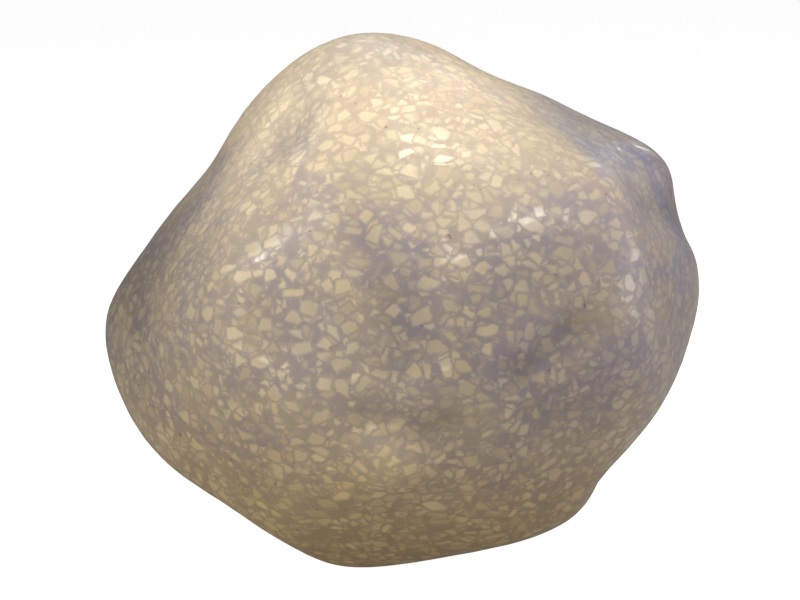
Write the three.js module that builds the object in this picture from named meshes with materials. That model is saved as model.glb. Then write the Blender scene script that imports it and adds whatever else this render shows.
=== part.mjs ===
// A polished boulder: one solid stone whose broad faces were ground and tumbled until every ridge
// between them ran round, standing on a small flat seat.
//
// The stone is star-shaped. From its heart, each direction has one reach to the surface: soft broad faces
// set the main form, then swells and hollows are added, and creases are pressed in along their lines.
// Millimetres, +Z up. The front faces -Y. The origin lies on the seat's plane, under the middle of the
// bounding box.

import * as THREE from "three";
import { mergeVertices } from "three/addons/utils/BufferGeometryUtils.js";

const HEART_HEIGHT = 148; // the heart above the seat
const ROUNDING = 22; // a higher power leaves crisper ridges between the faces
const GRID = 28; // squares along each side of the six-sided grid that the surface is wrapped in

// Broad faces: where each one looks, and how far from the heart its plane lies.
// Azimuth is counted from +X towards +Y, and elevation from the horizon up, in degrees.
const FACES = [
  // crown
  { azimuth: 106, elevation: 71, reach: 172 },
  { azimuth: -82, elevation: 63, reach: 154 },
  { azimuth: -87, elevation: 45, reach: 150 },
  { azimuth: -9, elevation: 63, reach: 149 },
  { azimuth: 57, elevation: 45, reach: 155 },
  { azimuth: -166, elevation: 37, reach: 146 },
  { azimuth: 149, elevation: 22, reach: 160 },
  { azimuth: 154, elevation: 54, reach: 173 },
  { azimuth: -148, elevation: 44, reach: 146 },
  // right side
  { azimuth: 4, elevation: 12, reach: 176 },
  { azimuth: 0, elevation: -5, reach: 175 },
  { azimuth: -19, elevation: 30, reach: 172 },
  { azimuth: -25, elevation: 5, reach: 168 },
  { azimuth: -12, elevation: -34, reach: 154 },
  // front
  { azimuth: -118, elevation: 47, reach: 157 },
  { azimuth: -112, elevation: 33, reach: 157 },
  { azimuth: -78, elevation: 31, reach: 156 },
  { azimuth: -122, elevation: 3, reach: 160 },
  { azimuth: -98, elevation: 1, reach: 155 },
  { azimuth: -110, elevation: 19, reach: 150 },
  { azimuth: -74, elevation: 17, reach: 152 },
  { azimuth: -60, elevation: -20, reach: 147 },
  { azimuth: -90, elevation: -15, reach: 146 },
  { azimuth: -91, elevation: -37, reach: 143 },
  { azimuth: -126, elevation: -17, reach: 153 },
  // left side
  { azimuth: -151, elevation: 6, reach: 160 },
  { azimuth: -171, elevation: -20, reach: 190 },
  { azimuth: -156, elevation: -51, reach: 158 },
  // back
  { azimuth: 52, elevation: 6, reach: 158 },
  { azimuth: 84, elevation: 36, reach: 148 },
  { azimuth: 99, elevation: 10, reach: 147 },
  { azimuth: 124, elevation: 31, reach: 151 },
  { azimuth: 134, elevation: -9, reach: 156 },
  { azimuth: 75, elevation: -20, reach: 150 },
  { azimuth: 105, elevation: -43, reach: 158 },
  { azimuth: 160, elevation: -30, reach: 175 },
  { azimuth: 25, elevation: -38, reach: 158 },
  // underside
  { azimuth: -50, elevation: -66, reach: 149 },
  { azimuth: -98, elevation: -60, reach: 165 },
  { azimuth: -90, elevation: -88, reach: 156 },
];

// Swells stand out of the surface and hollows sink into it, each by its height in millimetres.
// The spread is the angle at the heart, in degrees, over which one fades away.
const SWELLS = [
  { azimuth: -93, elevation: -14, spread: 6.5, height: 7.5 },
  { azimuth: -60, elevation: -1, spread: 7, height: -3.5 },
  { azimuth: -32, elevation: 39, spread: 5, height: 2.5 },
  { azimuth: -64, elevation: 25, spread: 8, height: -2.5 },
  { azimuth: 2, elevation: 8, spread: 8, height: 7 },
  { azimuth: 7, elevation: 31, spread: 8, height: 5 },
  { azimuth: 167, elevation: 34, spread: 9, height: -6 },
  { azimuth: 46, elevation: 66, spread: 8, height: -4 },
  { azimuth: -150, elevation: 56, spread: 5, height: -6 },
  { azimuth: -22, elevation: -33, spread: 7, height: -7 },
  { azimuth: -18, elevation: -44, spread: 7, height: 5 },
  { azimuth: -157, elevation: -50, spread: 8, height: -6 },
  { azimuth: -168, elevation: -38, spread: 8, height: 3 },
  { azimuth: -179, elevation: -4, spread: 9, height: 4 },
  { azimuth: 75, elevation: 12, spread: 12, height: 6 },
  { azimuth: 112, elevation: 52, spread: 9, height: 4 },
  { azimuth: 118, elevation: -16, spread: 9, height: -6 },
  { azimuth: 60, elevation: -30, spread: 8, height: -5 },
];

// Creases are pressed in between two directions, and ridges, of a rise above 0, stand out there. Each
// fades over the spread to both sides.
const CREASES = [
  { from: [-98, 36], to: [-90, 12], spread: 4.5, rise: -4 },
  { from: [4, 20], to: [-20, 30], spread: 4, rise: -7 },
  { from: [-54, 12], to: [-68, 5], spread: 2.8, rise: -5.5 },
  { from: [-82, -6], to: [-99, -5], spread: 2.6, rise: -4 },
  { from: [128, 38], to: [104, 6], spread: 5, rise: -5 },
  { from: [-142, 34], to: [-127, 8], spread: 4, rise: 3.5 },
];

const degrees = THREE.MathUtils.degToRad;

function direction(azimuth, elevation) {
  const level = Math.cos(degrees(elevation));
  return new THREE.Vector3(
    level * Math.cos(degrees(azimuth)),
    level * Math.sin(degrees(azimuth)),
    Math.sin(degrees(elevation)),
  );
}

const faces = FACES.map(({ azimuth, elevation, reach }) => ({
  normal: direction(azimuth, elevation),
  reach,
}));

const swells = SWELLS.map(({ azimuth, elevation, spread, height }) => ({
  middle: direction(azimuth, elevation),
  spread: degrees(spread),
  height,
}));

const creases = CREASES.map(({ from, to, spread, rise }) => ({
  line: new THREE.Line3(direction(...from), direction(...to)),
  spread: degrees(spread),
  rise,
}));

function fade(angle, spread) {
  return Math.exp(-0.5 * (angle / spread) ** 2);
}

// The broad faces meet in soft ridges: the power sum rounds off every edge between them.
function reachOfFaces(way) {
  let sum = 0;
  for (const { normal, reach } of faces) {
    const share = way.dot(normal) / reach;
    if (share > 0) sum += share ** ROUNDING;
  }
  return sum ** (-1 / ROUNDING);
}

function surfacePoint(way) {
  let reach = reachOfFaces(way);
  for (const { middle, spread, height } of swells) {
    reach += height * fade(way.angleTo(middle), spread);
  }
  const nearest = new THREE.Vector3();
  for (const { line, spread, rise } of creases) {
    line.closestPointToPoint(way, true, nearest);
    reach += rise * fade(way.angleTo(nearest), spread);
  }
  const point = way.clone().multiplyScalar(reach);
  point.z = Math.max(point.z, -HEART_HEIGHT); // the seat is ground flat
  return point;
}

// A box's grid, blown up to a ball with its squares kept near one size, gives the directions.
function makeStone() {
  const box = new THREE.BoxGeometry(2, 2, 2, GRID, GRID, GRID);
  box.deleteAttribute("normal");
  box.deleteAttribute("uv");
  const skin = mergeVertices(box);
  const points = skin.getAttribute("position");
  const evenOut = (side) => Math.tan((side * Math.PI) / 4);
  for (let i = 0; i < points.count; i++) {
    const way = new THREE.Vector3(
      evenOut(points.getX(i)),
      evenOut(points.getY(i)),
      evenOut(points.getZ(i)),
    ).normalize();
    points.setXYZ(i, ...surfacePoint(way));
  }
  skin.computeBoundingBox();
  const { min, max } = skin.boundingBox;
  skin.translate(-(min.x + max.x) / 2, -(min.y + max.y) / 2, HEART_HEIGHT);
  return skin;
}

const stone = new THREE.Mesh(
  makeStone(),
  new THREE.MeshStandardMaterial({ color: 0xb5a48c, roughness: 0.35, metalness: 0 }),
);
stone.name = "stone";

const part = new THREE.Group();
part.add(stone);

export default part;
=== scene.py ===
"""A polished boulder of crushed pale chips in a fine grey and tan ground, on a pale studio floor.

The stone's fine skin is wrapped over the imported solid, and its finish is made of shader nodes alone.
Lengths are in metres, +Z is up, and the front looks along -Y.
"""

import math

import bpy
import numpy as np
from bpy.props import FloatProperty, FloatVectorProperty, IntProperty, PointerProperty
from bpy.types import NodeSocket, Operator, Panel, PropertyGroup, Scene
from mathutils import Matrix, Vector, noise
from mathutils.bvhtree import BVHTree


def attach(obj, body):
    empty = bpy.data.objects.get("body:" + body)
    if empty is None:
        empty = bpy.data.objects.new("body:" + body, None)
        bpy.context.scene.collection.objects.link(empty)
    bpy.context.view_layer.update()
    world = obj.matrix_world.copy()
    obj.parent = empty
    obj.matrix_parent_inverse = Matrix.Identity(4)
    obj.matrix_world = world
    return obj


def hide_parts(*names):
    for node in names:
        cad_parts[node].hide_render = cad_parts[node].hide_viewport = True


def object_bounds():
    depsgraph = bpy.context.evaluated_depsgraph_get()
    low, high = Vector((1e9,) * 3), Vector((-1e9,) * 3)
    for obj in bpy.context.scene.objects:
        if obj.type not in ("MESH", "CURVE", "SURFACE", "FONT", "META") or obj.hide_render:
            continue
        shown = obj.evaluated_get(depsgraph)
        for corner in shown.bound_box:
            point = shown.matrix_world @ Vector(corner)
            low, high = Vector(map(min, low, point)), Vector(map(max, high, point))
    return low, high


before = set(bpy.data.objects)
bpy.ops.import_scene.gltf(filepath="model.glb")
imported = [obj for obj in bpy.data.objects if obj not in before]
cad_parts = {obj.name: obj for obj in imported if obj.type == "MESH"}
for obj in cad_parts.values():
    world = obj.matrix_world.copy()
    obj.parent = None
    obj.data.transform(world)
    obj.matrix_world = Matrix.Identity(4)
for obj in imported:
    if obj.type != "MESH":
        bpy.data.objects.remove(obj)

bl_info = {
    "name": "Polished Boulder",
    "version": (1, 0, 0),
    "blender": (4, 5, 0),
    "location": "3D View > Sidebar > Boulder",
    "description": "Builds a polished boulder of crushed chips and the studio it stands in",
    "category": "Object",
}

NODE = "stone"
BODY = "root"
CAD_LOW, CAD_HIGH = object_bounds()
HEIGHT = CAD_HIGH.z - CAD_LOW.z
MILLIMETRE = 0.001


# --- Settings -----------------------------------------------------------------------------------


def length(name, description, default):
    """A length in metres that a user can change."""
    return FloatProperty(
        name=name,
        description=description,
        default=default,
        min=0.0,
        precision=4,
        subtype="DISTANCE",
        unit="LENGTH",
    )


def share(name, description, default):
    """A share from 0 to 1 that a user can change."""
    return FloatProperty(
        name=name, description=description, default=default, min=0.0, max=1.0, subtype="FACTOR"
    )


def colour(name, description, default):
    """A linear colour that a user can change."""
    return FloatVectorProperty(
        name=name,
        description=description,
        default=default,
        size=3,
        min=0.0,
        max=1.0,
        subtype="COLOR",
    )


class StoneSettings(PropertyGroup):
    """What the stone's skin and finish are made from."""

    squares: IntProperty(
        name="Squares per side",
        description="Squares along each side of the six-sided grid that is wrapped over the solid",
        default=128,
        min=8,
        max=128,
    )
    easing: IntProperty(
        name="Easing passes",
        description="Smoothing passes that take out the solid's flat facets",
        default=8,
        min=0,
    )
    swell: length("Swell", "Height of the broad, slow waves that polishing left", 0.0008)
    ripple: length("Ripple", "Height of the short waves that polishing left", 0.0002)

    large_chip: length("Large chip spacing", "Distance between the largest chips", 0.0105)
    middle_chip: length("Middle chip spacing", "Distance between the middling chips", 0.0082)
    small_chip: length("Small chip spacing", "Distance between the small chips", 0.0056)
    crumb: length("Crumb spacing", "Distance between the crumbs in the ground", 0.0030)
    chip_edge: length("Chip edge", "How far a chip's edge blurs into the ground", 0.0009)
    chip_wear: length("Chip wear", "What the chips' sides lost; thinner splinters are gone", 0.0004)

    pale_chip: colour("Pale chip", "The palest chips", (0.645, 0.552, 0.388))
    deep_chip: colour("Deep chip", "The deepest tan chips", (0.51, 0.424, 0.284))
    cool_ground: colour("Cool ground", "Ground where it is grey and mauve", (0.335, 0.287, 0.295))
    warm_ground: colour("Warm ground", "Ground where it is peach and tan", (0.40, 0.328, 0.256))
    speck: colour("Speck", "The few dark specks in the ground", (0.16, 0.10, 0.075))
    # Painted warm floor bounce and shade: the ground and the chips are tinted darker and warmer near the
    # floor.
    foot_shade_tint: colour("Painted foot shade", "Tint of the ground near the floor", (0.84, 0.765, 0.60))
    chip_foot_shade_tint: colour("Painted foot shade on chips", "Tint of the chips near the floor", (0.93, 0.84, 0.61))


class StageSettings(PropertyGroup):
    """The floor, the lamps and the camera."""

    floor: colour("Floor", "Colour of the studio floor", (0.83, 0.825, 0.81))
    floor_glow: share("Floor glow", "How far the floor is lifted towards white where it is seen", 0.9)
    floor_reach: length("Floor reach", "From the stone to the floor's edge", 9.0)
    lamps: FloatProperty(
        name="Lamps", description="Brightness of all the lamps together", default=1.03, min=0.0
    )
    sky: share("Sky", "Brightness of the white room around the stage", 0.08)
    elevation: FloatProperty(
        name="View elevation",
        description="How far the camera looks down on the stone",
        default=math.radians(18),
        subtype="ANGLE",
    )
    distance: length("View distance", "From the camera to the point it aims at", 1.22)
    aim_height: length("Aim height", "Height of the point that the camera aims at", 0.49 * HEIGHT)


# --- The stone's skin ---------------------------------------------------------------------------


HEART = Vector(((CAD_LOW.x + CAD_HIGH.x) / 2, (CAD_LOW.y + CAD_HIGH.y) / 2, 0.47 * HEIGHT))
SWELL_LENGTH = 45 * MILLIMETRE
RIPPLE_LENGTH = 13 * MILLIMETRE
SEAT_FADE = 20 * MILLIMETRE  # the waves reach their full height this far above the seat
# The finish paints shade into hollows and light onto ridges from this depth.
HOLLOW = "hollow"  # the mesh attribute that holds how deep each point lies
HOLLOW_PASSES = 64  # smoothing passes that give the ground around a point


def cube_grid(squares):
    """The corners of a cube's surface grid, from 0 to squares each way, and its outward squares."""
    steps = np.arange(squares + 1)
    across, along = np.meshgrid(steps, steps, indexing="ij")
    first = np.arange(squares)[:, None] * (squares + 1) + np.arange(squares)[None, :]
    square = np.stack([first, first + squares + 1, first + squares + 2, first + 1], axis=-1)
    square = square.reshape(-1, 4)
    corners, faces = [], []
    for axis in range(3):
        for end in (0, squares):
            side = np.empty((squares + 1, squares + 1, 3), int)
            side[..., axis] = end
            side[..., (axis + 1) % 3] = across
            side[..., (axis + 2) % 3] = along
            outward = square if end else square[:, ::-1]
            faces.append(outward + len(corners) * (squares + 1) ** 2)
            corners.append(side.reshape(-1, 3))
    corners, place = np.unique(np.concatenate(corners), axis=0, return_inverse=True)
    return corners, place.reshape(-1)[np.concatenate(faces)]


def even_directions(corners, squares):
    """A direction through each corner of the grid, with the squares near one size on a ball."""
    spread = np.tan((2.0 * corners / squares - 1.0) * math.pi / 4)
    return spread / np.linalg.norm(spread, axis=1, keepdims=True)


def reach_to_solid(directions):
    """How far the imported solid's surface lies from the heart, along each direction."""
    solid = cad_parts[NODE].data
    tree = BVHTree.FromPolygons(
        [v.co for v in solid.vertices], [tuple(p.vertices) for p in solid.polygons]
    )
    reach = np.array([tree.ray_cast(HEART, Vector(way))[3] or 0.0 for way in directions])
    if not reach.all():
        raise RuntimeError("a ray from the heart missed the solid")
    return reach


def eased(values, faces, passes):
    """The values after each has moved towards its neighbours' mean, once for each pass."""
    one = faces.reshape(-1)
    other = np.roll(faces, -1, axis=1).reshape(-1)
    neighbours = np.bincount(one, minlength=len(values)) * 2.0
    for _ in range(passes):
        total = np.bincount(one, values[other], len(values))
        total += np.bincount(other, values[one], len(values))
        values = 0.5 * values + 0.5 * total / neighbours
    return values


def waves(points, wavelength, seed):
    """Smooth noise from -1 to 1 at each point."""
    shift = Vector((seed, 2.3 * seed, 5.1 * seed))
    return np.array([noise.noise(Vector(p) / wavelength + shift) for p in points])


def hollow_depths(mesh, points, faces):
    """How far each point lies below the ground around it: above 0 in a hollow, below 0 on a ridge."""
    around = [eased(points[:, axis], faces, HOLLOW_PASSES) for axis in range(3)]
    normals = np.empty(points.size, np.float32)
    mesh.vertex_normals.foreach_get("vector", normals)
    return np.einsum("ij,ij->i", np.stack(around, axis=1) - points, normals.reshape(-1, 3))


def wrap_skin(settings):
    """The stone's fine skin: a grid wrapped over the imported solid, eased and gently waved."""
    corners, faces = cube_grid(settings.squares)
    directions = even_directions(corners, settings.squares)
    reach = eased(reach_to_solid(directions), faces, settings.easing)
    points = np.array(HEART) + directions * reach[:, None]
    off_seat = np.clip((points[:, 2] - CAD_LOW.z) / SEAT_FADE, 0, 1)
    reach += off_seat * settings.swell * waves(points, SWELL_LENGTH, seed=1.0)
    reach += off_seat * settings.ripple * waves(points, RIPPLE_LENGTH, seed=2.0)
    points = np.array(HEART) + directions * reach[:, None]
    points[:, 2] = np.maximum(points[:, 2], CAD_LOW.z)

    mesh = bpy.data.meshes.new("polished_stone")
    mesh.from_pydata(points.tolist(), [], faces.tolist())
    mesh.shade_smooth()
    mesh.update()
    depth = mesh.attributes.new(HOLLOW, "FLOAT", "POINT")
    depth.data.foreach_set("value", hollow_depths(mesh, points, faces))
    skin = bpy.data.objects.new("polished_stone", mesh)
    bpy.context.scene.collection.objects.link(skin)
    return skin


# --- Shader nodes -------------------------------------------------------------------------------


class Bench:
    """Adds nodes to one shader tree. A value that is a socket is linked, and any other is set."""

    COLUMNS = 12
    COLUMN_WIDTH = 180
    ROW_HEIGHT = 220

    def __init__(self, tree):
        self.tree = tree

    def node(self, kind, inputs=None, **settings):
        """A new node with these settings, and its inputs by name or number."""
        row, column = divmod(len(self.tree.nodes), self.COLUMNS)
        made = self.tree.nodes.new(kind)
        made.location = (column * self.COLUMN_WIDTH, -row * self.ROW_HEIGHT)
        for name, value in settings.items():
            setattr(made, name, value)
        for place, value in (inputs or {}).items():
            self.join(made.inputs[place], value)
        return made

    def join(self, socket, value):
        """Links a socket into another, or sets its value."""
        if isinstance(value, NodeSocket):
            self.tree.links.new(value, socket)
        else:
            socket.default_value = value

    def math(self, operation, *values):
        """A Math node's result."""
        return self.node(
            "ShaderNodeMath", dict(enumerate(values)), operation=operation
        ).outputs[0]

    def vector(self, operation, *values):
        """A Vector Math node's vector."""
        return self.node(
            "ShaderNodeVectorMath", dict(enumerate(values)), operation=operation
        ).outputs["Vector"]

    def scaled(self, vector, factor):
        """A vector times a number."""
        return self.node(
            "ShaderNodeVectorMath", {"Vector": vector, "Scale": factor}, operation="SCALE"
        ).outputs["Vector"]

    def dot(self, one, other):
        """The dot product of two vectors."""
        return self.node(
            "ShaderNodeVectorMath", {0: one, 1: other}, operation="DOT_PRODUCT"
        ).outputs["Value"]

    def least(self, rounding, *values):
        """The least of several numbers, with the corners where they meet rounded off."""
        found = values[0]
        for value in values[1:]:
            found = self.math("SMOOTH_MIN", found, value, rounding)
        return found

    def ramp(self, value, low, high, to_low=0.0, to_high=1.0):
        """A value's smooth rise from to_low at low to to_high at high."""
        return self.node(
            "ShaderNodeMapRange",
            {"Value": value, "From Min": low, "From Max": high, "To Min": to_low, "To Max": to_high},
            interpolation_type="SMOOTHSTEP",
        ).outputs["Result"]

    def line(self, value, to_low, to_high):
        """A value from 0 to 1 spread evenly from to_low to to_high."""
        return self.math("MULTIPLY_ADD", value, to_high - to_low, to_low)

    def centred(self, value, width):
        """A value from 0 to 1 spread evenly from half the width below 0 to half the width above."""
        return self.math("MULTIPLY", self.math("SUBTRACT", value, 0.5), width)

    def centred_vector(self, vector):
        """A vector of numbers from 0 to 1, moved down to lie around 0."""
        return self.vector("SUBTRACT", vector, (0.5, 0.5, 0.5))

    def mix(self, factor, one, other, kind="RGBA", blend="MIX"):
        """Two colours, numbers (FLOAT) or vectors (VECTOR) mixed."""
        first, result = {"FLOAT": (2, 0), "VECTOR": (4, 1), "RGBA": (6, 2)}[kind]
        return self.node(
            "ShaderNodeMix",
            {0: factor, first: one, first + 1: other},
            data_type=kind,
            blend_type=blend,
        ).outputs[result]

    def laid_over(self, colour, other, mask, strength):
        """A colour with another laid over it where the mask is 1, at this strength."""
        return self.mix(self.math("MULTIPLY", mask, strength), colour, other)

    def noise(self, place, wavelength, detail=2.0, roughness=0.5):
        """Smooth noise from 0 to 1."""
        return self.node(
            "ShaderNodeTexNoise",
            {"Vector": place, "Scale": 1 / wavelength, "Detail": detail, "Roughness": roughness},
        ).outputs["Fac"]

    def noise_colour(self, place, wavelength):
        """Smooth noise from 0 to 1 in each of three directions."""
        return self.node(
            "ShaderNodeTexNoise", {"Vector": place, "Scale": 1 / wavelength, "Detail": 2.0}
        ).outputs["Color"]

    def dice(self, place):
        """Three random numbers from 0 to 1, as a colour, for each place."""
        return self.node("ShaderNodeTexWhiteNoise", {"Vector": place}).outputs["Color"]

    def distance(self, one, other):
        """How far two places are apart."""
        return self.node(
            "ShaderNodeVectorMath", {0: one, 1: other}, operation="DISTANCE"
        ).outputs["Value"]

    def parts(self, vector):
        """A vector's three numbers."""
        return self.node("ShaderNodeSeparateXYZ", {0: vector}).outputs


def new_group(name, inputs, outputs):
    """An empty shader node group, its bench, its input sockets and its output node."""
    group = bpy.data.node_groups.new(name, "ShaderNodeTree")
    for label, kind in inputs.items():
        group.interface.new_socket(name=label, in_out="INPUT", socket_type="NodeSocket" + kind)
    for label, kind in outputs.items():
        group.interface.new_socket(name=label, in_out="OUTPUT", socket_type="NodeSocket" + kind)
    bench = Bench(group)
    entry = bench.node("NodeGroupInput").outputs
    leave = bench.node("NodeGroupOutput").inputs
    return group, bench, entry, leave


# --- The stone's finish -------------------------------------------------------------------------


# A chip is a turned block, measured in shares of the distance between chips. Each half size is the least
# one and up to the range more. A slanting side and a corner are struck off between two limits.
HALF_LEAST = (0.17, 0.28, 0.48)
HALF_RANGE = (0.25, 0.19, 0.28)
SIDE_STRUCK_OFF = (0.18, 0.42)
CORNER_STRUCK_OFF = (0.20, 0.46)
CORNER_ROUNDING = 0.06
CELL_MARGIN = 0.025
SECOND_DRAW = (17.3, 4.1, 9.7)  # shifts that give each chip more random numbers
THIRD_DRAW = (3.9, 21.7, 12.1)

CROWD_LENGTH = 32 * MILLIMETRE  # the distance over which chips lie now close together, now apart
CROWDING = 0.6  # by how much that raises and lowers the share of places that hold a chip
CHIP_GAP = 0.3 * MILLIMETRE  # ground left between a chip and a larger one
NONE_TAKEN = -1.0

# Sizes of chips, from the largest down: the setting that holds their spacing, the share of places that
# hold one, and a shift that keeps their places from falling in with those of the other sizes.
CHIP_SIZES = (
    {"spacing": "large_chip", "fill": 0.98, "shift": (0.00, 0.00, 0.00)},
    {"spacing": "middle_chip", "fill": 0.98, "shift": (0.31, 0.17, 0.53)},
    {"spacing": "small_chip", "fill": 0.70, "shift": (0.71, 0.43, 0.29)},
    {"spacing": "crumb", "fill": 0.20, "shift": (0.13, 0.87, 0.61)},
)
EDGE_WANDER = 2.0 * MILLIMETRE  # how far the broken edges of the chips wander
EDGE_WANDER_LENGTH = 3.5 * MILLIMETRE

# Deeper chips show faintly through the ground.
SUNK_DEPTH = 2.2 * MILLIMETRE
SUNK_SPACING = 1.1  # times the middle chips' spacing
SUNK_FILL = 0.8
SUNK_BLUR = 2.0  # times the blur of the upper chips' edges

# How plainly each of these shows in the ground.
SUNK_STRENGTH = 0.28
CRUMB_STRENGTH = 0.3
SPECK_STRENGTH = 0.7

# The distance over which each kind of change in the colour comes and goes.
DRIFT_LENGTH = 42 * MILLIMETRE
VEIL_LENGTH = 24 * MILLIMETRE
VEIL_SHIFT = (0.4, 0.9, 0.2)  # keeps the veil from falling in with the drift
CLOUD_LENGTH = 7 * MILLIMETRE
SPECK_LENGTH = 3.2 * MILLIMETRE
MOTTLE_LENGTH = 2.5 * MILLIMETRE
GRAIN_LENGTH = 0.9 * MILLIMETRE

# The painted warm floor bounce and shade at the foot is full below one height and gone above the other. Its
# edge and the edges of the patches of painted light and shade stray within the ragged band.
FOOT_SHADE_FULL = 20 * MILLIMETRE
FOOT_SHADE_GONE = 0.50 * HEIGHT
RAGGED_BAND = 100 * MILLIMETRE

# Painted light and shade: ridges, whose depth is below 0, are painted paler than the rest, and hollows are
# painted darker.
RIDGE_DEPTH, RIDGE_PAINTED_LIGHT = -1.6 * MILLIMETRE, 1.10
HOLLOW_DEPTH, HOLLOW_PAINTED_SHADE = 1.2 * MILLIMETRE, 0.82
GRAIN_SHADE = (0.92, 1.08)
GRAIN_RELIEF = 0.02 * MILLIMETRE

# The polish: the ground and the chips have these roughnesses, and the palest chips have the most gloss.
GROUND_ROUGHNESS, CHIP_ROUGHNESS = 0.50, 0.38
LEAST_GLOSS, MOST_GLOSS = 0.1, 0.38
CHIP_LEAN = 0.10  # how far each chip's own slope departs from the stone's

# Patches of painted light and shade, in metres, where the whole stone is tinted: some darker and greyer as
# painted shade, some bluer as a painted cool reflection, and some paler as painted light. The tint is full
# within the core's share of the reach.
LIGHT_AND_SHADE_CORE = 0.3
LIGHT_AND_SHADE_PATCHES = (
    {"middle": (0.130, 0.045, 0.250), "reach": 0.112, "tint": (0.74, 0.755, 0.85)},
    {"middle": (0.102, -0.014, 0.267), "reach": 0.054, "tint": (0.79, 0.84, 0.98)},
    {"middle": (0.145, -0.045, 0.228), "reach": 0.060, "tint": (0.94, 0.99, 1.12)},
    {"middle": (-0.155, -0.005, 0.190), "reach": 0.085, "tint": (0.67, 0.67, 0.73)},
    {"middle": (-0.063, -0.048, 0.266), "reach": 0.035, "tint": (0.82, 0.84, 0.94)},
    {"middle": (-0.028, -0.006, 0.312), "reach": 0.052, "tint": (0.80, 0.82, 0.87)},
    {"middle": (-0.044, -0.116, 0.238), "reach": 0.038, "tint": (0.92, 0.92, 0.91)},
    {"middle": (-0.004, -0.138, 0.205), "reach": 0.034, "tint": (0.84, 0.85, 0.94)},
    {"middle": (0.073, -0.120, 0.228), "reach": 0.042, "tint": (0.90, 0.91, 0.96)},
    {"middle": (0.095, -0.122, 0.180), "reach": 0.040, "tint": (0.96, 0.97, 1.05)},
    {"middle": (-0.014, -0.147, 0.108), "reach": 0.045, "tint": (1.26, 1.23, 1.13)},
    {"middle": (0.049, -0.020, 0.293), "reach": 0.042, "tint": (1.16, 1.16, 1.17)},
)


def build_chip_group():
    """One size of crushed chips: a random convex shard in each cell of a scattered lattice.

    Inside is how deep a place lies within this size's chips, in metres, below 0 outside them.
    All is the same for these chips and those already laid, given as Taken. Tone is how pale a chip is,
    from 0 to 1, and Tilt is which way it leans.
    """
    group, bench, entry, leave = new_group(
        "Crushed chips",
        {"Place": "Vector", "Spacing": "Float", "Fill": "Float", "Taken": "Float"},
        {"Inside": "Float", "All": "Float", "Tone": "Float", "Tilt": "Vector"},
    )
    place = bench.scaled(entry["Place"], bench.math("DIVIDE", 1.0, entry["Spacing"]))
    cell = bench.node("ShaderNodeTexVoronoi", {"Vector": place, "Scale": 1.0}).outputs
    border = bench.node(
        "ShaderNodeTexVoronoi", {"Vector": place, "Scale": 1.0}, feature="DISTANCE_TO_EDGE"
    ).outputs["Distance"]
    middle = cell["Position"]
    turn = cell["Color"]
    form = bench.dice(middle)
    luck = bench.parts(bench.dice(bench.vector("ADD", middle, SECOND_DRAW)))
    tones = bench.parts(bench.dice(bench.vector("ADD", middle, THIRD_DRAW)))

    # A turned block, less one slanting side, one corner and whatever reaches the next chip's cell.
    local = bench.vector("SUBTRACT", place, middle)
    turned = bench.node(
        "ShaderNodeVectorRotate",
        {"Vector": local, "Rotation": bench.scaled(turn, 2 * math.pi)},
        rotation_type="EULER_XYZ",
    ).outputs[0]
    half = bench.vector("MULTIPLY_ADD", form, HALF_RANGE, HALF_LEAST)
    sides = bench.parts(bench.vector("SUBTRACT", half, bench.vector("ABSOLUTE", turned)))
    slant = bench.vector("NORMALIZE", bench.centred_vector(form))
    side_off = bench.line(luck[0], *SIDE_STRUCK_OFF)
    side_off = bench.math("SUBTRACT", side_off, bench.dot(turned, slant))
    slope = bench.vector("NORMALIZE", bench.centred_vector(turn))
    corner_off = bench.line(luck[1], *CORNER_STRUCK_OFF)
    corner_off = bench.math("SUBTRACT", corner_off, bench.dot(turned, slope))
    within_cell = bench.math("SUBTRACT", border, CELL_MARGIN)
    depth = bench.least(CORNER_ROUNDING, *sides, side_off, corner_off, within_cell)

    # Some cells hold no chip.
    crowd = bench.noise(bench.scaled(middle, entry["Spacing"]), CROWD_LENGTH, detail=1.0)
    wanted = bench.math("ADD", entry["Fill"], bench.centred(crowd, CROWDING))
    absent = bench.math("GREATER_THAN", luck[2], wanted)
    depth = bench.math("MULTIPLY", bench.math("SUBTRACT", depth, absent), entry["Spacing"])
    clear_of_taken = bench.math("SUBTRACT", -CHIP_GAP, entry["Taken"])
    depth = bench.math("MINIMUM", depth, clear_of_taken)

    bench.join(leave["Inside"], depth)
    bench.join(leave["All"], bench.math("MAXIMUM", depth, entry["Taken"]))
    bench.join(leave["Tone"], tones[0])
    bench.join(leave["Tilt"], bench.centred_vector(form))
    return group


def lay_chips(bench, group, place, spacing, fill, taken=NONE_TAKEN):
    """One size of chips, laid clear of those already taken."""
    made = bench.node("ShaderNodeGroup", node_tree=group)
    for name, value in {"Place": place, "Spacing": spacing, "Fill": fill, "Taken": taken}.items():
        bench.join(made.inputs[name], value)
    return made.outputs


def lay_all_sizes(bench, group, place, settings):
    """Every size of chips in turn, from the largest down, with broken edges that wander a little."""
    wander = bench.centred_vector(bench.noise_colour(place, EDGE_WANDER_LENGTH))
    broken = bench.vector("ADD", place, bench.scaled(wander, EDGE_WANDER))
    laid = []
    taken = NONE_TAKEN
    for size in CHIP_SIZES:
        shifted = bench.vector("ADD", broken, size["shift"])
        spacing = getattr(settings, size["spacing"])
        laid.append(lay_chips(bench, group, shifted, spacing, size["fill"], taken))
        taken = laid[-1]["All"]
    return laid


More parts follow.
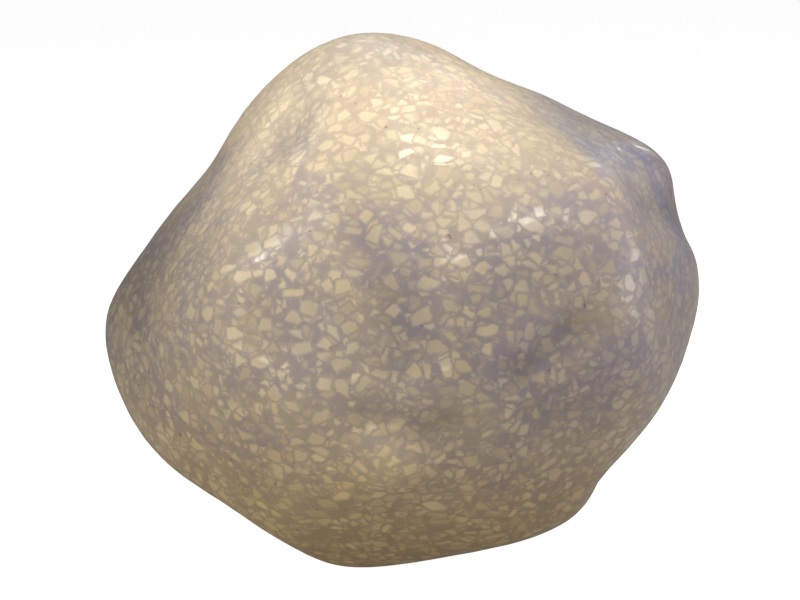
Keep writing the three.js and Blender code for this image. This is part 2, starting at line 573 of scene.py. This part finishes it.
def ground_warmth_and_warm_light(bench, place, drift):
    """0 where the ground is grey and mauve, about the waist, to 1 towards the crown, foot and left, partly
    painted warm light.
    """
    along, _, height = bench.parts(place)
    cloud = bench.noise(place, CLOUD_LENGTH, detail=3.0, roughness=0.6)
    warmth = bench.math("ADD", drift, bench.centred(cloud, 0.35))
    # The rise towards the crown is painted warm lamp light and the rise towards the foot painted warm floor
    # bounce; the drift and the cloud are the ground's own changes of colour, and the ground is also warmer to
    # the left.
    for way, none, full, most in (
        (height, 0.70 * HEIGHT, 0.92 * HEIGHT, 0.30),
        (height, 0.42 * HEIGHT, 0.15 * HEIGHT, 0.30),
        (along, 0.02, -0.14, 0.08),
    ):
        warmth = bench.math("ADD", warmth, bench.ramp(way, none, full, 0.0, most))
    return bench.ramp(warmth, 0.38, 0.76)


def plainness_of_chips(bench, place, tone):
    """How plainly a chip shows: less under a veil of ground, to the right and where it is deep tan."""
    along = bench.parts(place)[0]
    veil = bench.noise(bench.vector("ADD", place, VEIL_SHIFT), VEIL_LENGTH)
    plain = bench.ramp(veil, 0.35, 0.62, 0.80, 1.0)
    plain = bench.math("MULTIPLY", plain, bench.ramp(along, 0.03, 0.13, 1.0, 0.72))
    return bench.math("MULTIPLY", plain, bench.ramp(tone, 0.05, 0.45, 0.70, 1.0))


def painted_with_light_and_shade(bench, colour, place, ragged):
    """A colour tinted in every patch of painted light and shade, whose edges are ragged."""
    for patch in LIGHT_AND_SHADE_PATCHES:
        away = bench.math("ADD", bench.distance(place, patch["middle"]), ragged)
        inside = bench.ramp(away, patch["reach"], LIGHT_AND_SHADE_CORE * patch["reach"])
        colour = bench.mix(inside, colour, (*patch["tint"], 1), blend="MULTIPLY")
    return colour


def polished_stone_material(settings):
    """Angular chips of three sizes in a fine ground, with fainter chips showing from below the polish."""
    material = bpy.data.materials.new("polished stone")
    material.use_nodes = True
    tree = material.node_tree
    tree.nodes.clear()
    bench = Bench(tree)
    place = bench.node("ShaderNodeTexCoord").outputs["Object"]
    normal = bench.node("ShaderNodeNewGeometry").outputs["Normal"]
    hollow = bench.node("ShaderNodeAttribute", attribute_name=HOLLOW).outputs["Fac"]
    drift = bench.noise(place, DRIFT_LENGTH, detail=3.0, roughness=0.55)
    group = build_chip_group()

    # Where the chips are. Splinters thinner than the wear are gone.
    large, middling, small, crumbs = lay_all_sizes(bench, group, place, settings)
    wear, blur = settings.chip_wear, settings.chip_edge
    is_chip = bench.ramp(small["All"], wear - blur, wear + blur)
    is_crumb = bench.ramp(crumbs["Inside"], 0.0, blur)
    is_large = bench.math("GREATER_THAN", large["Inside"], wear - blur)
    is_middling = bench.math("GREATER_THAN", middling["Inside"], wear - blur)
    sunk = bench.vector("SUBTRACT", place, bench.scaled(normal, SUNK_DEPTH))
    below = lay_chips(bench, group, sunk, SUNK_SPACING * settings.middle_chip, SUNK_FILL)
    is_sunk = bench.ramp(below["Inside"], wear - blur, wear + SUNK_BLUR * blur)

    # The chips' own colour, faintly mottled.
    tone = bench.mix(is_middling, small["Tone"], middling["Tone"], "FLOAT")
    tone = bench.mix(is_large, tone, large["Tone"], "FLOAT")
    mottle = bench.noise(place, MOTTLE_LENGTH, detail=3.0, roughness=0.6)
    tone = bench.math("ADD", tone, bench.centred(mottle, 0.5))
    chip_colour = bench.mix(tone, (*settings.deep_chip, 1), (*settings.pale_chip, 1))

    # The ground between them.
    warmth = ground_warmth_and_warm_light(bench, place, drift)
    ground = bench.mix(warmth, (*settings.cool_ground, 1), (*settings.warm_ground, 1))
    ground = bench.laid_over(ground, chip_colour, is_sunk, SUNK_STRENGTH)
    ground = bench.laid_over(ground, chip_colour, is_crumb, CRUMB_STRENGTH)
    is_speck = bench.ramp(bench.noise(place, SPECK_LENGTH, detail=0.0), 0.83, 0.86)
    ground = bench.laid_over(ground, (*settings.speck, 1), is_speck, SPECK_STRENGTH)
    colour_all = bench.laid_over(ground, chip_colour, is_chip, plainness_of_chips(bench, place, tone))

    # What lies over both: painted warm floor bounce and shade at the foot, patches of painted light and
    # shade, painted shade in hollows and painted light on ridges, and grain.
    height = bench.parts(place)[2]
    ragged = bench.centred(drift, RAGGED_BAND)
    # Painted warm floor bounce and shade, full at the foot and gone about halfway up.
    foot_shaded = bench.ramp(bench.math("ADD", ragged, height), FOOT_SHADE_FULL, FOOT_SHADE_GONE, 1.0, 0.0)
    foot_shade_tint = bench.mix(is_chip, (*settings.foot_shade_tint, 1), (*settings.chip_foot_shade_tint, 1))
    colour_all = bench.mix(foot_shaded, colour_all, foot_shade_tint, blend="MULTIPLY")
    # Patches of painted light and shade.
    colour_all = painted_with_light_and_shade(bench, colour_all, place, ragged)
    # Painted shade in the hollows and painted light on the ridges.
    shade = bench.ramp(hollow, RIDGE_DEPTH, HOLLOW_DEPTH, RIDGE_PAINTED_LIGHT, HOLLOW_PAINTED_SHADE)
    colour_all = bench.scaled(colour_all, shade)
    grain = bench.noise(place, GRAIN_LENGTH, roughness=0.6)
    colour_all = bench.scaled(colour_all, bench.line(grain, *GRAIN_SHADE))

    # Each chip was ground on a slightly different slope, so only a few catch a lamp at one time.
    lean = bench.mix(is_large, middling["Tilt"], large["Tilt"], "VECTOR")
    lean = bench.scaled(lean, bench.math("MULTIPLY", is_chip, CHIP_LEAN))
    facing = bench.vector("NORMALIZE", bench.vector("ADD", normal, lean))
    relief = bench.node(
        "ShaderNodeBump",
        {"Height": grain, "Distance": GRAIN_RELIEF, "Strength": 0.5, "Normal": facing},
    ).outputs["Normal"]

    gloss = bench.ramp(tone, 0.40, 0.70, LEAST_GLOSS, MOST_GLOSS)
    shader = bench.node(
        "ShaderNodeBsdfPrincipled",
        {
            "Base Color": colour_all,
            "Roughness": bench.line(is_chip, GROUND_ROUGHNESS, CHIP_ROUGHNESS),
            "Normal": relief,
            "IOR": 1.5,
            "Coat Weight": bench.math("MULTIPLY", is_chip, gloss),
            "Coat Roughness": 0.07,
        },
    )
    bench.node("ShaderNodeOutputMaterial", {"Surface": shader.outputs[0]})
    return material


# --- The stage ----------------------------------------------------------------------------------


# Azimuth 0 is straight in front of the stone, and 90 is to its right. A lamp aims at the stone's middle,
# or at its crown, and its grid keeps the light within the spread. Degrees, metres and watts.
LAMPS = (
    {"name": "front left", "azimuth": -40, "elevation": 8, "distance": 1.5, "size": (1.3, 0.6),
     "power": 3.3, "tint": (0.90, 0.96, 1.00)},
    {"name": "right", "azimuth": 80, "elevation": 8, "distance": 1.5, "size": (1.3, 0.6),
     "power": 9.0, "tint": (0.95, 0.93, 1.00)},
    {"name": "low front", "azimuth": -20, "elevation": -6, "distance": 0.75, "size": (0.8, 0.06),
     "power": 1.1, "tint": (1.00, 0.88, 0.68)},
    {"name": "low left", "azimuth": -60, "elevation": -6, "distance": 0.75, "size": (0.8, 0.06),
     "power": 0.72, "tint": (1.00, 0.88, 0.68)},
    {"name": "back", "azimuth": 180, "elevation": 52, "distance": 0.9, "size": (0.6, 0.6),
     "power": 1.8, "tint": (0.80, 0.87, 1.00)},
    {"name": "glint right", "azimuth": 152, "elevation": 17, "distance": 1.4, "size": (0.05, 0.35),
     "power": 0.28, "tint": (0.82, 0.91, 1.00)},
    {"name": "glint left", "azimuth": -131, "elevation": 36, "distance": 1.4, "size": (0.05, 0.8),
     "power": 0.8, "tint": (0.82, 0.91, 1.00)},
    {"name": "glint front", "azimuth": -92, "elevation": 25, "distance": 1.4, "size": (0.05, 0.2),
     "power": 0.28, "tint": (0.82, 0.91, 1.00)},
    {"name": "crown left", "azimuth": -60, "elevation": 40, "distance": 0.45, "size": (0.2, 0.2),
     "power": 0.110, "tint": (1.00, 0.98, 0.94), "spread": 30, "aim": "crown left"},
    {"name": "crown front", "azimuth": -20, "elevation": 40, "distance": 0.45, "size": (0.2, 0.2),
     "power": 0.033, "tint": (1.00, 0.87, 0.60), "spread": 30, "aim": "crown left"},
    {"name": "crown right", "azimuth": 20, "elevation": 40, "distance": 0.45, "size": (0.2, 0.2),
     "power": 0.087, "tint": (1.00, 0.97, 0.98), "spread": 30, "aim": "crown right"},
    {"name": "crown above", "azimuth": 0, "elevation": 85, "distance": 0.5, "size": (0.2, 0.2),
     "power": 0.140, "tint": (1.00, 0.93, 0.76), "spread": 40, "aim": "crown right"},
)
AIMS = {
    "middle": (0.0, 0.0, 0.5 * HEIGHT),
    "crown left": (-0.055, -0.03, 0.885 * HEIGHT),
    "crown right": (0.06, -0.01, 0.90 * HEIGHT),
}


def lay_floor(settings):
    """A pale floor that runs out past the camera's view, lifted towards white where it is seen."""
    reach = settings.floor_reach
    mesh = bpy.data.meshes.new("floor")
    corners = [(-reach, -reach, 0), (reach, -reach, 0), (reach, reach, 0), (-reach, reach, 0)]
    mesh.from_pydata(corners, [], [(0, 1, 2, 3)])
    floor = bpy.data.objects.new("floor", mesh)
    bpy.context.scene.collection.objects.link(floor)
    material = bpy.data.materials.new("floor paint")
    material.use_nodes = True
    bench = Bench(material.node_tree)
    shader = material.node_tree.nodes["Principled BSDF"]
    shader.inputs["Base Color"].default_value = (*settings.floor, 1)
    shader.inputs["Roughness"].default_value = 0.9
    shader.inputs["Specular IOR Level"].default_value = 0.1
    shader.inputs["Emission Color"].default_value = (1, 1, 1, 1)
    seen = bench.node("ShaderNodeLightPath").outputs["Is Camera Ray"]
    bench.join(shader.inputs["Emission Strength"], bench.math("MULTIPLY", seen, settings.floor_glow))
    mesh.materials.append(material)
    return floor


def hang_softbox(brightness, name, azimuth, elevation, distance, size, power, tint, spread=180, aim="middle"):
    """A rectangular lamp that stands out from its aim at the azimuth and elevation given."""
    lamp = bpy.data.lights.new(name, "AREA")
    lamp.shape = "RECTANGLE"
    lamp.size, lamp.size_y = size
    lamp.energy = power * brightness
    lamp.color = tint
    lamp.spread = math.radians(spread)
    softbox = bpy.data.objects.new(name, lamp)
    bpy.context.scene.collection.objects.link(softbox)
    turn, rise = math.radians(azimuth), math.radians(elevation)
    out = Vector((math.sin(turn) * math.cos(rise), -math.cos(turn) * math.cos(rise), math.sin(rise)))
    softbox.location = Vector(AIMS[aim]) + out * distance
    softbox.rotation_mode = "QUATERNION"
    softbox.rotation_quaternion = out.to_track_quat("Z", "Y")
    softbox.visible_camera = False


def paint_room(brightness):
    """A white room: plain white to the camera, and as bright as asked where it lights the stone."""
    room = bpy.data.worlds.new("room")
    bpy.context.scene.world = room
    room.use_nodes = True
    bench = Bench(room.node_tree)
    room.node_tree.nodes.clear()
    seen = bench.node("ShaderNodeLightPath").outputs["Is Camera Ray"]
    strength = bench.math("MULTIPLY_ADD", seen, 1.0 - brightness, brightness)
    wall = bench.node("ShaderNodeBackground", {"Color": (1, 1, 1, 1), "Strength": strength})
    bench.node("ShaderNodeOutputWorld", {"Surface": wall.outputs[0]})


def place_camera(settings):
    """The camera, straight in front of the stone and looking a little down on it."""
    data = bpy.data.cameras.new("view")
    data.lens = 90
    data.clip_start = 0.05
    camera = bpy.data.objects.new("view", data)
    bpy.context.scene.collection.objects.link(camera)
    rise = settings.elevation
    out = Vector((0, -math.cos(rise), math.sin(rise)))
    camera.location = Vector((0, 0, settings.aim_height)) + out * settings.distance
    camera.rotation_mode = "QUATERNION"
    camera.rotation_quaternion = out.to_track_quat("Z", "Y")
    bpy.context.scene.camera = camera


# --- Operators and panel ------------------------------------------------------------------------


class BOULDER_OT_stone(Operator):
    """Wrap the fine skin over the solid and give it its polished finish"""

    bl_idname = "boulder.stone"
    bl_label = "Build stone"

    def execute(self, context):
        settings = context.scene.boulder_stone
        stone = wrap_skin(settings)
        stone.data.materials.append(polished_stone_material(settings))
        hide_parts(NODE)
        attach(stone, BODY)
        return {"FINISHED"}


class BOULDER_OT_stage(Operator):
    """Lay the floor, hang the lamps and place the camera"""

    bl_idname = "boulder.stage"
    bl_label = "Build stage"

    def execute(self, context):
        settings = context.scene.boulder_stage
        lay_floor(settings)
        for lamp in LAMPS:
            hang_softbox(settings.lamps, **lamp)
        paint_room(settings.sky)
        place_camera(settings)
        context.scene.view_settings.view_transform = "Standard"
        return {"FINISHED"}


class BOULDER_PT_panel(Panel):
    """The boulder's operators and settings"""

    bl_idname = "BOULDER_PT_panel"
    bl_label = "Polished Boulder"
    bl_space_type = "VIEW_3D"
    bl_region_type = "UI"
    bl_category = "Boulder"

    def draw(self, context):
        for title, settings, operator in (
            ("Stone", context.scene.boulder_stone, BOULDER_OT_stone),
            ("Stage", context.scene.boulder_stage, BOULDER_OT_stage),
        ):
            box = self.layout.box()
            box.label(text=title)
            for name in settings.__annotations__:
                box.prop(settings, name)
            box.operator(operator.bl_idname)


CLASSES = (
    StoneSettings,
    StageSettings,
    BOULDER_OT_stone,
    BOULDER_OT_stage,
    BOULDER_PT_panel,
)


def register():
    for kind in CLASSES:
        bpy.utils.register_class(kind)
    Scene.boulder_stone = PointerProperty(type=StoneSettings)
    Scene.boulder_stage = PointerProperty(type=StageSettings)


def unregister():
    del Scene.boulder_stage
    del Scene.boulder_stone
    for kind in reversed(CLASSES):
        bpy.utils.unregister_class(kind)


def main():
    """Builds the stone and its stage."""
    register()
    bpy.ops.boulder.stone()
    bpy.ops.boulder.stage()


if __name__ == "__main__":
    main()
